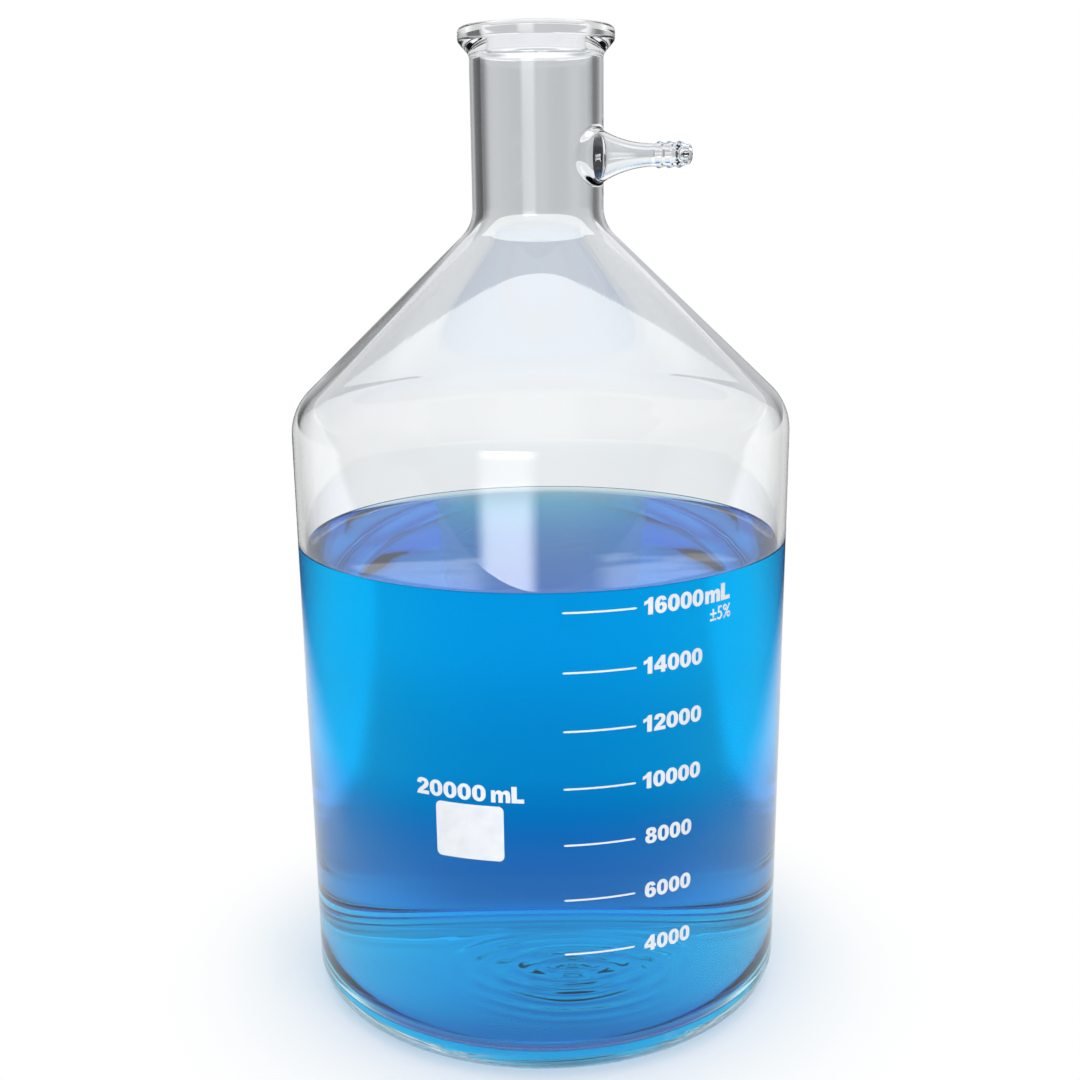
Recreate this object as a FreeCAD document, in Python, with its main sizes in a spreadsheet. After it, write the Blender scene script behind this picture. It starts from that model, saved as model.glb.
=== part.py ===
"""A 20 litre filtering flask: a blown glass bottle with a barbed hose connection on its neck.

The base rests on z = 0 and the bottle's axis is the z axis. The front of the flask, with its
white enamel print, faces -y, and the hose connection points to +x, turned a little forward.
"""
import FreeCAD, Part
import math
import os
import Sketcher

SIZES = (
    ("body_diameter", 290, "outside of the body"),
    ("body_wall", 4.4, "glass of the body"),
    ("total_height", 566, "base to the top of the rim"),
    ("neck_length", 105, "top of the rim down to where the neck would meet the shoulder's cone"),
    ("shoulder_angle", 43.4, "slope of the shoulder above level, in degrees"),
    ("shoulder_rounding", 32, "outside radius between body and shoulder"),
    ("base_rounding", 18, "outside radius of the heel"),
    ("base_hollow", 9, "rise of the hollow under the base"),
    ("rest_ring_inset", 27, "side of the body to the inner edge of the ring that the flask stands on"),
    ("floor_thickness", 9.5, "glass of the floor"),
    ("floor_rounding", 24, "inside radius between floor and wall"),
    ("neck_diameter", 74.4, "outside of the neck"),
    ("neck_wall", 6, "glass of the neck"),
    ("neck_rounding", 21, "outside radius between shoulder and neck"),
    ("rim_diameter", 87, "outside of the rim"),
    ("rim_band", 7.5, "height of the rim's outer band"),
    ("rim_flare", 7, "height of the slope under the band"),
    ("rim_rounding", 3, "outer edges of the band"),
    ("rim_root_rounding", 6, "radius between neck and rim"),
    ("mouth_rounding", 2.5, "inner edge of the mouth"),
    ("arm_drop", 68.7, "top of the rim down to the axis of the hose connection"),
    ("arm_turn", 24, "turn of the hose connection from +x to the front, in degrees"),
    ("arm_reach", 90, "bottle axis to the tip of the hose connection"),
    ("arm_root_diameter", 37.6, "flare of the hose connection inside the neck's wall"),
    ("arm_tube_diameter", 12, "outside of the tube before its barbs"),
    ("arm_wall", 2, "glass of the tube"),
    ("arm_root_bore", 26, "hole through the neck's wall"),
    ("arm_root_rounding", 4, "radius where the flare meets the neck"),
    ("arm_bore_rounding", 3, "radius where the hole opens into the neck"),
    ("barb_count", 3, "barbs on the tube"),
    ("barb_pitch", 5.8, "from barb to barb"),
    ("barb_rise", 1.1, "height of a barb above the tube"),
    ("barb_slope", 3.6, "length of a barb's slope on the side of the tip"),
    ("tip_length", 2.6, "plain end beyond the last barb"),
    ("tip_diameter", 10.6, "outside of the tip"),
    ("tip_rounding", 0.9, "outer edge of the tip"),
    ("liquid_level", 280, "height of the liquid's surface"),
    ("volume_step", 2, "litres between two graduation lines"),
    ("top_volume", 16, "litres at the highest line"),
    ("line_count", 7, "graduation lines"),
    ("line_start", 3.9, "start of a line from the front, in degrees"),
    ("line_sweep", 15.6, "length of a line, in degrees"),
    ("line_width", 1, "height of a line"),
    ("enamel_thickness", 0.25, "enamel above the glass"),
    ("panel_start", -23.7, "start of the writing panel from the front, in degrees"),
    ("panel_sweep", 15, "width of the writing panel, in degrees"),
    ("panel_bottom", 134, "height of the writing panel's lower edge"),
    ("panel_height", 31.6, "height of the writing panel"),
    ("panel_rounding", 3, "corners of the writing panel"),
)

# sizes that several pieces share, as expressions on the sheet
BODY_RADIUS = "dims.body_diameter / 2"
BORE_RADIUS = "(dims.body_diameter / 2 - dims.body_wall)"
NECK_RADIUS = "dims.neck_diameter / 2"
NECK_BORE_RADIUS = "(dims.neck_diameter / 2 - dims.neck_wall)"
RIM_RADIUS = "dims.rim_diameter / 2"
REST_RADIUS = f"({BODY_RADIUS} - dims.rest_ring_inset)"
SLOPE = "dims.shoulder_angle * 1 deg"
NECK_ROOT = "(dims.total_height - dims.neck_length)"
SHOULDER_HEIGHT = f"({NECK_ROOT} - ({BODY_RADIUS} - {NECK_RADIUS}) * tan({SLOPE}))"
# the inside of the shoulder lies one wall below its outside, measured square to the cone
INNER_SHOULDER = f"({SHOULDER_HEIGHT} + dims.body_wall * (tan({SLOPE}) - 1 / cos({SLOPE})))"
INNER_NECK_ROOT = f"({NECK_ROOT} + dims.neck_wall * (tan({SLOPE}) - 1 / cos({SLOPE})))"
RIM_BAND_FOOT = "(dims.total_height - dims.rim_band)"
RIM_FOOT = "(dims.total_height - dims.rim_band - dims.rim_flare)"
# the hollow under the base and the floor above it are two spheres about one centre
DOME_RADIUS = f"(({REST_RADIUS})^2 + dims.base_hollow^2) / (2 * dims.base_hollow)"
DOME_CENTRE = f"(dims.base_hollow - {DOME_RADIUS})"
FLOOR_CROWN = "(dims.base_hollow + dims.floor_thickness)"
FLOOR_EDGE = f"({DOME_CENTRE} + sqrt(({DOME_RADIUS} + dims.floor_thickness)^2 - {BORE_RADIUS}^2))"
# the hose connection is drawn on its own axis, with x from the bottle's axis outwards
ARM_HEIGHT = "(dims.total_height - dims.arm_drop)"
BARBS_START = "(dims.arm_reach - dims.tip_length - dims.barb_count * dims.barb_pitch)"
TUBE_RADIUS = "dims.arm_tube_diameter / 2"
TUBE_BORE_RADIUS = "(dims.arm_tube_diameter / 2 - dims.arm_wall)"
ROOT_RADIUS = "dims.arm_root_diameter / 2"
ROOT_BORE_RADIUS = "dims.arm_root_bore / 2"
FLARE_LENGTH = f"({BARBS_START} - {NECK_BORE_RADIUS})"
FLARE_RISE = f"({ROOT_RADIUS} - {TUBE_RADIUS})"
FLARE_RADIUS = f"({FLARE_LENGTH}^2 + {FLARE_RISE}^2) / (2 * {FLARE_RISE})"
# the bore's flare keeps the tube's wall until it is as wide as the hole in the neck
BORE_FLARE_RADIUS = f"({FLARE_RADIUS} + dims.arm_wall)"
BORE_FLARE_CENTRE = f"({TUBE_BORE_RADIUS} + {BORE_FLARE_RADIUS})"
BORE_FLARE_START = (f"({BARBS_START} - sqrt({BORE_FLARE_RADIUS}^2"
                    f" - ({BORE_FLARE_CENTRE} - {ROOT_BORE_RADIUS})^2))")

# turned from this plane, the bottle's surfaces have their seams at the back, clear of the arm
BOTTLE_PLANE = "YZ_Plane"
# turned from a tilted plane, the arm's surfaces have their seams between its top and its side
ARM_SEAM_TILT = "30 deg"
LITRE = 1e6
NEAR = 0.01

doc = FreeCAD.newDocument("filtering_flask")
sheet = doc.addObject("Spreadsheet::Sheet", "dims")
for row, (alias, size, meaning) in enumerate(SIZES, 1):
    sheet.set(f"A{row}", alias)
    sheet.set(f"B{row}", str(size))
    sheet.setAlias(f"B{row}", alias)
    sheet.set(f"C{row}", meaning)
doc.recompute()


def value(expression):
    """The number, in mm, that an expression on the sheet gives."""
    result = sheet.evalExpression(expression)
    return float(getattr(result, "Value", result))


def new_body(label):
    body = doc.addObject("PartDesign::Body", label)
    body.Label = label
    body.Placement = FreeCAD.Placement()
    return body


def new_sketch(body, name, plane):
    """An empty sketch on one of the body's own origin planes."""
    sketch = body.newObject("Sketcher::SketchObject", name)
    support = next(f for f in body.Origin.OriginFeatures if f.Role == plane)
    sketch.AttachmentSupport = [(support, "")]
    sketch.MapMode = "FlatFace"
    return sketch


def pin(sketch, point, axis, expression):
    """Hold one coordinate of a sketch point, ("X" or "Y"), at the value of an expression."""
    if expression == "0":
        own_axis = {"X": -2, "Y": -1}[axis]
        sketch.addConstraint(Sketcher.Constraint("PointOnObject", *point, own_axis))
        return
    index = sketch.addConstraint(
        Sketcher.Constraint(f"Distance{axis}", -1, 1, *point, value(expression)))
    sketch.setExpression(f"Constraints[{index}]", expression)


def draw_outline(sketch, corners, centres=None):
    """Draw a closed outline through corners, which are pairs of expressions.

    centres gives the centre of each side that is an arc, by the number of its first corner.
    """
    centres = centres or {}
    points = [FreeCAD.Vector(value(x), value(y), 0) for x, y in corners]
    sides = []
    for number, start in enumerate(points):
        end = points[(number + 1) % len(points)]
        if number in centres:
            centre = FreeCAD.Vector(*map(value, centres[number]), 0)
            left_turn = (start - centre).cross(end - centre).z > 0
            first, last = (start, end) if left_turn else (end, start)
            circle = Part.Circle(centre, FreeCAD.Vector(0, 0, 1), (start - centre).Length)
            curve = Part.ArcOfCircle(circle, circle.parameter(first), circle.parameter(last))
        else:
            left_turn = True
            curve = Part.LineSegment(start, end)
        geometry = sketch.addGeometry(curve, False)
        sides.append(((geometry, 1), (geometry, 2)) if left_turn else ((geometry, 2), (geometry, 1)))
    for number, (x, y) in enumerate(corners):
        before, here = sides[number - 1][1], sides[number][0]
        sketch.addConstraint(Sketcher.Constraint("Coincident", *before, *here))
        pin(sketch, here, "X", x)
        pin(sketch, here, "Y", y)
    for number, (x, _) in centres.items():
        pin(sketch, (sides[number][0][0], 3), "X", x)


def turn_profile(body, kind, name, sketch, axis):
    """Add or cut the solid that a profile sweeps in a whole turn about its own axis."""
    feature = body.newObject(f"PartDesign::{kind}", name)
    feature.Profile = sketch
    feature.ReferenceAxis = (sketch, [axis])
    feature.Angle = 360
    sketch.Visibility = False
    doc.recompute()
    return feature


def round_edges(body, name, radius, wanted):
    """Round the edges of the body that wanted picks, with an expression for the radius."""
    base = body.Tip
    names = [f"Edge{i}" for i, edge in enumerate(base.Shape.Edges, 1) if wanted(edge)]
    if not names:
        raise RuntimeError(f"{name} found no edge")
    fillet = body.newObject("PartDesign::Fillet", name)
    fillet.Base = (base, names)
    fillet.setExpression("Radius", radius)
    doc.recompute()


def is_circle(edge):
    return not edge.Degenerated and isinstance(edge.Curve, Part.Circle)


def ring_at(radius, height):
    """Pick the circle about the bottle's axis with this radius and height."""
    r, z = value(radius), value(height)

    def wanted(edge):
        if not is_circle(edge):
            return False
        centre = edge.Curve.Center
        on_axis = math.hypot(centre.x, centre.y) < NEAR
        return on_axis and abs(edge.Curve.Radius - r) < NEAR and abs(centre.z - z) < NEAR

    return wanted


def seam_on_cylinder(radius):
    """Pick the edges that wind over an upright cylinder, as where a side tube leaves it."""
    r = value(radius)

    def wanted(edge):
        if edge.Degenerated:
            return False
        ends = edge.ParameterRange
        spots = [edge.valueAt(ends[0] + (ends[1] - ends[0]) * k / 8) for k in range(9)]
        heights = [p.z for p in spots]
        turns = [math.atan2(p.y, p.x) for p in spots]
        on_cylinder = all(abs(math.hypot(p.x, p.y) - r) < NEAR for p in spots)
        return on_cylinder and max(heights) - min(heights) > 1 and max(turns) - min(turns) > NEAR

    return wanted


def outer_profile(body):
    sketch = new_sketch(body, "bottle_outline", BOTTLE_PLANE)
    draw_outline(sketch, (
        ("0", "dims.base_hollow"),
        (REST_RADIUS, "0"),
        (BODY_RADIUS, "0"),
        (BODY_RADIUS, SHOULDER_HEIGHT),
        (NECK_RADIUS, NECK_ROOT),
        (NECK_RADIUS, RIM_FOOT),
        (RIM_RADIUS, RIM_BAND_FOOT),
        (RIM_RADIUS, "dims.total_height"),
        ("0", "dims.total_height"),
    ), {0: ("0", DOME_CENTRE)})
    return sketch


def cavity_profile(body, name, corners_above_floor):
    """The outline of the inside: the domed floor, then the corners given, up to the axis."""
    sketch = new_sketch(body, name, BOTTLE_PLANE)
    corners = (("0", FLOOR_CROWN), (BORE_RADIUS, FLOOR_EDGE)) + corners_above_floor
    draw_outline(sketch, corners, {0: ("0", DOME_CENTRE)})
    return sketch


def arm_sketch(body, name):
    """A sketch on the axis of the hose connection, with its x axis along the tube."""
    sketch = new_sketch(body, name, "XZ_Plane")
    place = f"vector(0; {ARM_HEIGHT}; 0)"
    turn = "rotation(vector(0; 1; 0); -dims.arm_turn * 1 deg)"
    tilt = f"rotation(vector(1; 0; 0); {ARM_SEAM_TILT})"
    sketch.setExpression("AttachmentOffset", f"placement({place}; {turn} * {tilt})")
    return sketch


def arm_outline(body):
    """The outside of the hose connection: flare, tube, barbs and tip."""
    sketch = arm_sketch(body, "arm_outline")
    corners = [
        (f"{NECK_BORE_RADIUS} / 2", "0"),
        (f"{NECK_BORE_RADIUS} / 2", ROOT_RADIUS),
        (NECK_BORE_RADIUS, ROOT_RADIUS),
        (BARBS_START, TUBE_RADIUS),
    ]
    for barb in range(int(value("dims.barb_count"))):
        foot = f"({BARBS_START} + {barb + 1} * dims.barb_pitch)"
        corners.append((f"({foot} - dims.barb_slope)", f"{TUBE_RADIUS} + dims.barb_rise"))
        corners.append((foot, TUBE_RADIUS))
    corners[-1] = (corners[-1][0], "dims.tip_diameter / 2")
    corners.append(("dims.arm_reach", "dims.tip_diameter / 2"))
    corners.append(("dims.arm_reach", "0"))
    flare_centre = (BARBS_START, f"{TUBE_RADIUS} + {FLARE_RADIUS}")
    draw_outline(sketch, corners, {2: flare_centre})
    return sketch


def arm_bore_outline(body):
    """The way through the hose connection, from the inside of the neck past the tip."""
    sketch = arm_sketch(body, "arm_bore_outline")
    draw_outline(sketch, (
        (f"{NECK_BORE_RADIUS} / 2", "0"),
        (f"{NECK_BORE_RADIUS} / 2", ROOT_BORE_RADIUS),
        (BORE_FLARE_START, ROOT_BORE_RADIUS),
        (BARBS_START, TUBE_BORE_RADIUS),
        ("dims.arm_reach + dims.tip_length", TUBE_BORE_RADIUS),
        ("dims.arm_reach + dims.tip_length", "0"),
    ), {2: (BARBS_START, BORE_FLARE_CENTRE)})
    return sketch


def tip_edge(edge):
    """Pick the outer circle at the end of the hose connection."""
    if not is_circle(edge):
        return False
    centre = edge.Curve.Center
    at_tip = abs(math.hypot(centre.x, centre.y) - value("dims.arm_reach")) < NEAR
    return at_tip and abs(edge.Curve.Radius - value("dims.tip_diameter / 2")) < NEAR


def make_flask():
    """The bottle, blown from one piece of glass with its hose connection fused on."""
    body = new_body("flask")
    turn_profile(body, "Revolution", "bottle", outer_profile(body), "V_Axis")
    round_edges(body, "shoulder", "dims.shoulder_rounding", ring_at(BODY_RADIUS, SHOULDER_HEIGHT))
    round_edges(body, "neck_root", "dims.neck_rounding", ring_at(NECK_RADIUS, NECK_ROOT))
    round_edges(body, "rim_root", "dims.rim_root_rounding", ring_at(NECK_RADIUS, RIM_FOOT))
    round_edges(body, "rim_lower_edge", "dims.rim_rounding", ring_at(RIM_RADIUS, RIM_BAND_FOOT))
    round_edges(body, "rim_upper_edge", "dims.rim_rounding", ring_at(RIM_RADIUS, "dims.total_height"))
    turn_profile(body, "Revolution", "arm", arm_outline(body), "H_Axis")
    round_edges(body, "arm_root", "dims.arm_root_rounding", seam_on_cylinder(NECK_RADIUS))
    round_edges(body, "arm_tip", "dims.tip_rounding", tip_edge)
    above_mouth = "dims.total_height + dims.neck_wall"
    inside = cavity_profile(body, "cavity_outline", (
        (BORE_RADIUS, INNER_SHOULDER),
        (NECK_BORE_RADIUS, INNER_NECK_ROOT),
        (NECK_BORE_RADIUS, above_mouth),
        ("0", above_mouth),
    ))
    turn_profile(body, "Groove", "cavity", inside, "V_Axis")
    # the floor's corner is rounded before the heel, which would otherwise cut into it
    round_edges(body, "floor_corner", "dims.floor_rounding", ring_at(BORE_RADIUS, FLOOR_EDGE))
    round_edges(body, "heel", "dims.base_rounding", ring_at(BODY_RADIUS, "0"))
    round_edges(body, "inner_shoulder", "dims.shoulder_rounding - dims.body_wall",
                ring_at(BORE_RADIUS, INNER_SHOULDER))
    round_edges(body, "inner_neck_root", "dims.neck_rounding + dims.neck_wall",
                ring_at(NECK_BORE_RADIUS, INNER_NECK_ROOT))
    round_edges(body, "mouth", "dims.mouth_rounding", ring_at(NECK_BORE_RADIUS, "dims.total_height"))
    turn_profile(body, "Groove", "arm_bore", arm_bore_outline(body), "H_Axis")
    round_edges(body, "arm_hole", "dims.arm_bore_rounding", seam_on_cylinder(NECK_BORE_RADIUS))
    return body


def make_liquid():
    """The coloured water, which fills the bottle from its floor to the liquid level."""
    body = new_body("blue_liquid")
    outline = cavity_profile(body, "liquid_outline", (
        (BORE_RADIUS, "dims.liquid_level"),
        ("0", "dims.liquid_level"),
    ))
    turn_profile(body, "Revolution", "liquid", outline, "V_Axis")
    round_edges(body, "liquid_corner", "dims.floor_rounding", ring_at(BORE_RADIUS, FLOOR_EDGE))
    return body


def mark_height(liquid, litres):
    """The height to which this many litres fill the straight part of the bottle."""
    bore_area = math.pi * value(BORE_RADIUS) ** 2
    missing = litres * LITRE - liquid.Shape.Volume
    return value("dims.liquid_level") + missing / bore_area


def enamel_plate(label, start, sweep, bottom, height):
    """A thin plate of enamel on the body's outside, from a start angle and a lower edge."""
    body = new_body(label)
    sketch = new_sketch(body, f"{label}_outline", "XY_Plane")
    inner, outer = value(BODY_RADIUS), value(f"{BODY_RADIUS} + dims.enamel_thickness")
    angle = math.radians(value(sweep))
    first = FreeCAD.Vector(1, 0, 0)
    last = FreeCAD.Vector(math.cos(angle), math.sin(angle), 0)
    origin, up = FreeCAD.Vector(0, 0, 0), FreeCAD.Vector(0, 0, 1)
    sketch.addGeometry([
        Part.LineSegment(first * inner, first * outer),
        Part.ArcOfCircle(Part.Circle(origin, up, outer), 0, angle),
        Part.LineSegment(last * inner, last * outer),
        Part.ArcOfCircle(Part.Circle(origin, up, inner), 0, angle),
    ], False)
    sketch.addConstraint([
        Sketcher.Constraint("Coincident", 1, 3, -1, 1),
        Sketcher.Constraint("Coincident", 3, 3, -1, 1),
        Sketcher.Constraint("Coincident", 0, 2, 1, 1),
        Sketcher.Constraint("Coincident", 0, 1, 3, 1),
        Sketcher.Constraint("Coincident", 2, 2, 1, 2),
        Sketcher.Constraint("Coincident", 2, 1, 3, 2),
        Sketcher.Constraint("Horizontal", 0),
        Sketcher.Constraint("PointOnObject", 0, 1, -1),
        Sketcher.Constraint("PointOnObject", -1, 1, 2),
    ])
    for constraint, expression in (
        (Sketcher.Constraint("Radius", 3, inner), BODY_RADIUS),
        (Sketcher.Constraint("Radius", 1, outer), f"{BODY_RADIUS} + dims.enamel_thickness"),
        (Sketcher.Constraint("Angle", 0, 1, 2, 1, angle), f"{sweep} * 1 deg"),
    ):
        index = sketch.addConstraint(constraint)
        sketch.setExpression(f"Constraints[{index}]", expression)
    # the front of the flask is at -90 degrees on this plane
    turn = FreeCAD.Rotation(up, value(start) - 90)
    sketch.AttachmentOffset = FreeCAD.Placement(FreeCAD.Vector(0, 0, bottom), turn)
    sketch.setExpression("AttachmentOffset.Rotation.Angle", f"({start} - 90) * 1 deg")
    pad = body.newObject("PartDesign::Pad", f"{label}_plate")
    pad.Profile = sketch
    pad.setExpression("Length", height)
    sketch.Visibility = False
    doc.recompute()
    return body


def make_graduation_lines(liquid):
    """The graduation lines, each where the bottle holds its volume."""
    steps = int(value("dims.line_count")) - 1
    lowest = value("dims.top_volume") - steps * value("dims.volume_step")
    first, last = mark_height(liquid, lowest), mark_height(liquid, value("dims.top_volume"))
    bottom = first - value("dims.line_width") / 2
    body = enamel_plate("graduation_lines", "dims.line_start", "dims.line_sweep", bottom,
                        "dims.line_width")
    body.AllowCompound = True
    pattern = body.newObject("PartDesign::LinearPattern", "line_pattern")
    pattern.Originals = [body.Tip]
    pattern.Direction = (body.Tip.Profile[0], ["N_Axis"])
    pattern.Length = last - first
    pattern.Occurrences = steps + 1
    body.Tip = pattern
    doc.recompute()
    return body


def make_marking_panel():
    """The white field for writing on, with rounded corners."""
    body = enamel_plate("marking_panel", "dims.panel_start", "dims.panel_sweep",
                        value("dims.panel_bottom"), "dims.panel_height")
    body.Tip.Profile[0].setExpression("AttachmentOffset.Base.z", "dims.panel_bottom")
    doc.recompute()
    thin = value("dims.enamel_thickness")
    round_edges(body, "panel_corners", "dims.panel_rounding", lambda edge: abs(edge.Length - thin) < NEAR)
    return body


def check(pieces):
    """Stop if an object of the document or the shape of a piece has failed."""
    for item in doc.Objects:
        if "Invalid" in item.State or "Error" in item.State:
            raise RuntimeError(f"{item.Label}: {item.State}")
    for piece in pieces:
        if piece.Shape.isNull() or not piece.Shape.isValid():
            raise RuntimeError(f"{piece.Label} has no valid shape")


flask = make_flask()
blue_liquid = make_liquid()
pieces = (flask, blue_liquid, make_graduation_lines(blue_liquid), make_marking_panel())
doc.recompute()
check(pieces)

os.makedirs("parts", exist_ok=True)
for piece in pieces:
    piece.Shape.exportStep(f"parts/{piece.Label}.step")
    box = piece.Shape.BoundBox
    print(f"{piece.Label}: {len(piece.Shape.Solids)} solid(s), {piece.Shape.Volume / LITRE:.4f} litres,"
          f" z {box.ZMin:.2f} to {box.ZMax:.2f}")
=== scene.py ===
import math

import bmesh
import bpy
import numpy as np
from mathutils import Matrix, Vector


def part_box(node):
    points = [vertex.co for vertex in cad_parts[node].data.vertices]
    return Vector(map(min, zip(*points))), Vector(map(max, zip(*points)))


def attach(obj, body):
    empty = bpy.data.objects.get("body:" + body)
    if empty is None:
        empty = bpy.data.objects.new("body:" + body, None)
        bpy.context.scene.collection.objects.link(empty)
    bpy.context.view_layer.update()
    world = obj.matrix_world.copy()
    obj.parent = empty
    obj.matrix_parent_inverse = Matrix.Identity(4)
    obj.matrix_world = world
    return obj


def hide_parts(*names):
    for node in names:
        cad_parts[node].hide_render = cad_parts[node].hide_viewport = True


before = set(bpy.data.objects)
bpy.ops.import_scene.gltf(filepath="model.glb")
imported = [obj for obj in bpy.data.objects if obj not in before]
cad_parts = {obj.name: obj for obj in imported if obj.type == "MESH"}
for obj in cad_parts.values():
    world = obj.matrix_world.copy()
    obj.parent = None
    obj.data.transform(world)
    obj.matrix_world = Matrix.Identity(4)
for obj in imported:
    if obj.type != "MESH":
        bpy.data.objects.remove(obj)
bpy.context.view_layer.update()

MM = 0.001

# the bottle, in mm
BODY_RADIUS, BODY_BORE = 145.0, 140.6
NECK_RADIUS, NECK_BORE = 37.2, 31.2
NECK_ROOT, INNER_NECK_ROOT = 461.0, 458.37
SHOULDER, INNER_SHOULDER = 359.06, 357.17
HEIGHT, RIM_FOOT, BAND_FOOT, RIM_RADIUS = 566.0, 551.5, 558.5, 43.5
REST_RADIUS, HOLLOW, FLOOR_CROWN = 118.0, 9.0, 18.5
DOME_RADIUS, DOME_CENTRE = 778.056, -769.056
HEEL_ROUNDING, FLOOR_ROUNDING, REST_ROUNDING = 18.0, 24.0, 3
SHOULDER_ROUNDING, INNER_SHOULDER_ROUNDING = 32, 27.6
NECK_ROUNDING, INNER_NECK_ROUNDING = 21, 27
RIM_ROOT_ROUNDING, RIM_ROUNDING, MOUTH_ROUNDING = 6, 3, 2.5

# the hose connection, in mm along and across its own axis
ARM_HEIGHT, ARM_TURN = 497.3, math.radians(24)
FLARE_END, TUBE_RADIUS, TUBE_BORE = 70.0, 6.0, 4.0
FLARE_RADIUS = 65.206
FLARE_CENTRE = TUBE_RADIUS + FLARE_RADIUS
ROOT_BORE = 13.0
ARM_OUTLINE = (
    (70.0, 6.0, 0.5), (72.2, 7.1, 0.6), (75.8, 6.0, 0.5), (78.0, 7.1, 0.6), (81.6, 6.0, 0.5),
    (83.8, 7.1, 0.6), (87.4, 5.3, 0.8), (90.0, 5.3, 0.9), (90.0, 4.0, 0.4),
)

# the mesh has this many columns round the bottle; the hose connection grows out of a square
# window in the neck, counted in columns to either side of its axis and in rows
COLUMNS = 256
WINDOW_COLUMNS, WINDOW_ROWS = 27, 30
WINDOW_FOOT, WINDOW_TOP = 473.3, 521.3

# the water, in mm; it reaches a little into the glass, so that light bends there only once
LIQUID_LEVEL = 280.0
MENISCUS_RISE, MENISCUS_REACH = 2.2, 2.7
GLASS_OVERLAP = 0.3

# the white print, in mm and in degrees from the front
PRINT_RADIUS = 145.0
PRINT_THICKNESS, LETTER_LIFT = 0.22, 0.01
LINE_START, LINE_SWEEP, LINE_WIDTH = 3.9, 15.6, 1.0
STRIP_WIDTH = 1.5
# words: start in degrees from the front, then foot above their line, height and length in mm
FIVE_FIGURES, FOUR_FIGURES = (21.1, -4.2, 9.2, 36.7), (21.8, -4.2, 9.2, 29.4)
UNIT, TOLERANCE = (36.2, -4.0, 9.3, 18.6), (37.7, -14.2, 7.6, 15.8)
CAPACITY = (-28.2, 168.0, 9.3, 60.4)
LETTER_GAP, GAP_AFTER_ONE, WORD_GAP = 0.07, 0.13, 0.22

# broad block figures, one unit high: width, then outlines with (x, y) or (x, y, 1) at a corner
FIGURES = {
    "0": (0.74, (
        ((0, .5), (.10, .87), (.37, 1), (.64, .87), (.74, .5), (.64, .13), (.37, 0), (.10, .13)),
        ((.26, .5), (.29, .74), (.37, .80), (.45, .74), (.48, .5), (.45, .26), (.37, .20), (.29, .26)),
    )),
    "1": (0.52, (
        ((.24, 0, 1), (.52, 0, 1), (.52, 1, 1), (.31, 1, 1), (.20, .86), (0, .77, 1), (0, .56, 1),
         (.24, .67, 1)),
    )),
    "2": (0.72, (
        ((0, 0, 1), (.72, 0, 1), (.72, .22, 1), (.35, .22, 1), (.50, .34), (.66, .50), (.71, .70),
         (.62, .91), (.36, 1), (.11, .93), (.01, .68, 1), (.26, .66, 1), (.30, .77), (.37, .80),
         (.45, .76), (.46, .68), (.38, .55), (.20, .38), (.05, .18)),
    )),
    "4": (0.78, (
        ((.42, 0, 1), (.68, 0, 1), (.68, .19, 1), (.78, .19, 1), (.78, .40, 1), (.68, .40, 1),
         (.68, 1, 1), (.45, 1, 1), (0, .42, 1), (0, .19, 1), (.42, .19, 1)),
        ((.42, .40, 1), (.22, .40, 1), (.42, .67, 1)),
    )),
    "6": (0.72, (
        ((.69, .75, 1), (.58, .94), (.38, 1), (.11, .88), (0, .49), (.09, .13), (.36, 0), (.62, .09),
         (.72, .32), (.64, .55), (.46, .64), (.26, .56, 1), (.29, .74), (.37, .81), (.44, .72, 1)),
        ((.26, .32), (.36, .46), (.46, .32), (.36, .18)),
    )),
    "8": (0.74, (
        ((.37, 1), (.62, .93), (.70, .75), (.66, .61), (.58, .54), (.70, .45), (.74, .29), (.63, .07),
         (.37, 0), (.11, .07), (0, .29), (.04, .45), (.16, .54), (.08, .61), (.04, .75), (.12, .93)),
        ((.28, .72), (.37, .82), (.46, .72), (.37, .62)),
        ((.25, .30), (.37, .43), (.49, .30), (.37, .17)),
    )),
    "m": (1.02, (
        ((0, 0, 1), (.24, 0, 1), (.24, .38), (.27, .51), (.33, .53), (.38, .48), (.39, .38),
         (.39, 0, 1), (.63, 0, 1), (.63, .38), (.66, .51), (.72, .53), (.77, .48), (.78, .38),
         (.78, 0, 1), (1.02, 0, 1), (1.02, .48), (.95, .69), (.81, .75), (.68, .71), (.60, .62, 1),
         (.52, .72), (.41, .75), (.29, .70), (.22, .61, 1), (.22, .73, 1), (0, .73, 1)),
    )),
    "L": (0.66, (
        ((0, 0, 1), (.66, 0, 1), (.66, .24, 1), (.28, .24, 1), (.28, 1, 1), (0, 1, 1)),
    )),
}

# the photo's view: place and focal length, shift of the picture, pitch and roll in radians
CAMERA_PLACE, CAMERA_LENS, SENSOR_WIDTH = (0, -0.85107, 0.47673), 48.25, 36.0
CAMERA_SHIFT = -0.00237, 0.0556
CAMERA_PITCH, CAMERA_ROLL = 0.27251, -0.01165

# lamps that face the flask: degrees from the front, degrees up, distance in metres
KEY_PLACE, FILL_PLACE, PANEL_PLACE = (-14.5, 4, 1.6), (38, 20, 1.6), (0, 88, 1.9)
# sizes in metres and radiance
KEY_LAMP, FILL_LAMP, PANEL_LAMP = ((0.75, 1.1), 3.6), ((0.6, 1.0), 2.6), ((2.4, 2.4), 1.6)
FLASK_MIDDLE = (0, 0, 0.28)
SWEEP_RADIUS, SWEEP_FRONT = 14, -1.18
CARD_WIDTH, CARD_HEIGHT = 0.85, 1.3
# the card's brightness at its foot, and what its head adds: heights, then levels
CARD_FOOT, CARD_LEVELS = (-0.40, -0.33), (12.5, 3.2)
CARD_HEAD, HEAD_LEVELS = (0.15, 0.40), (0.0, 3.5)

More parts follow.
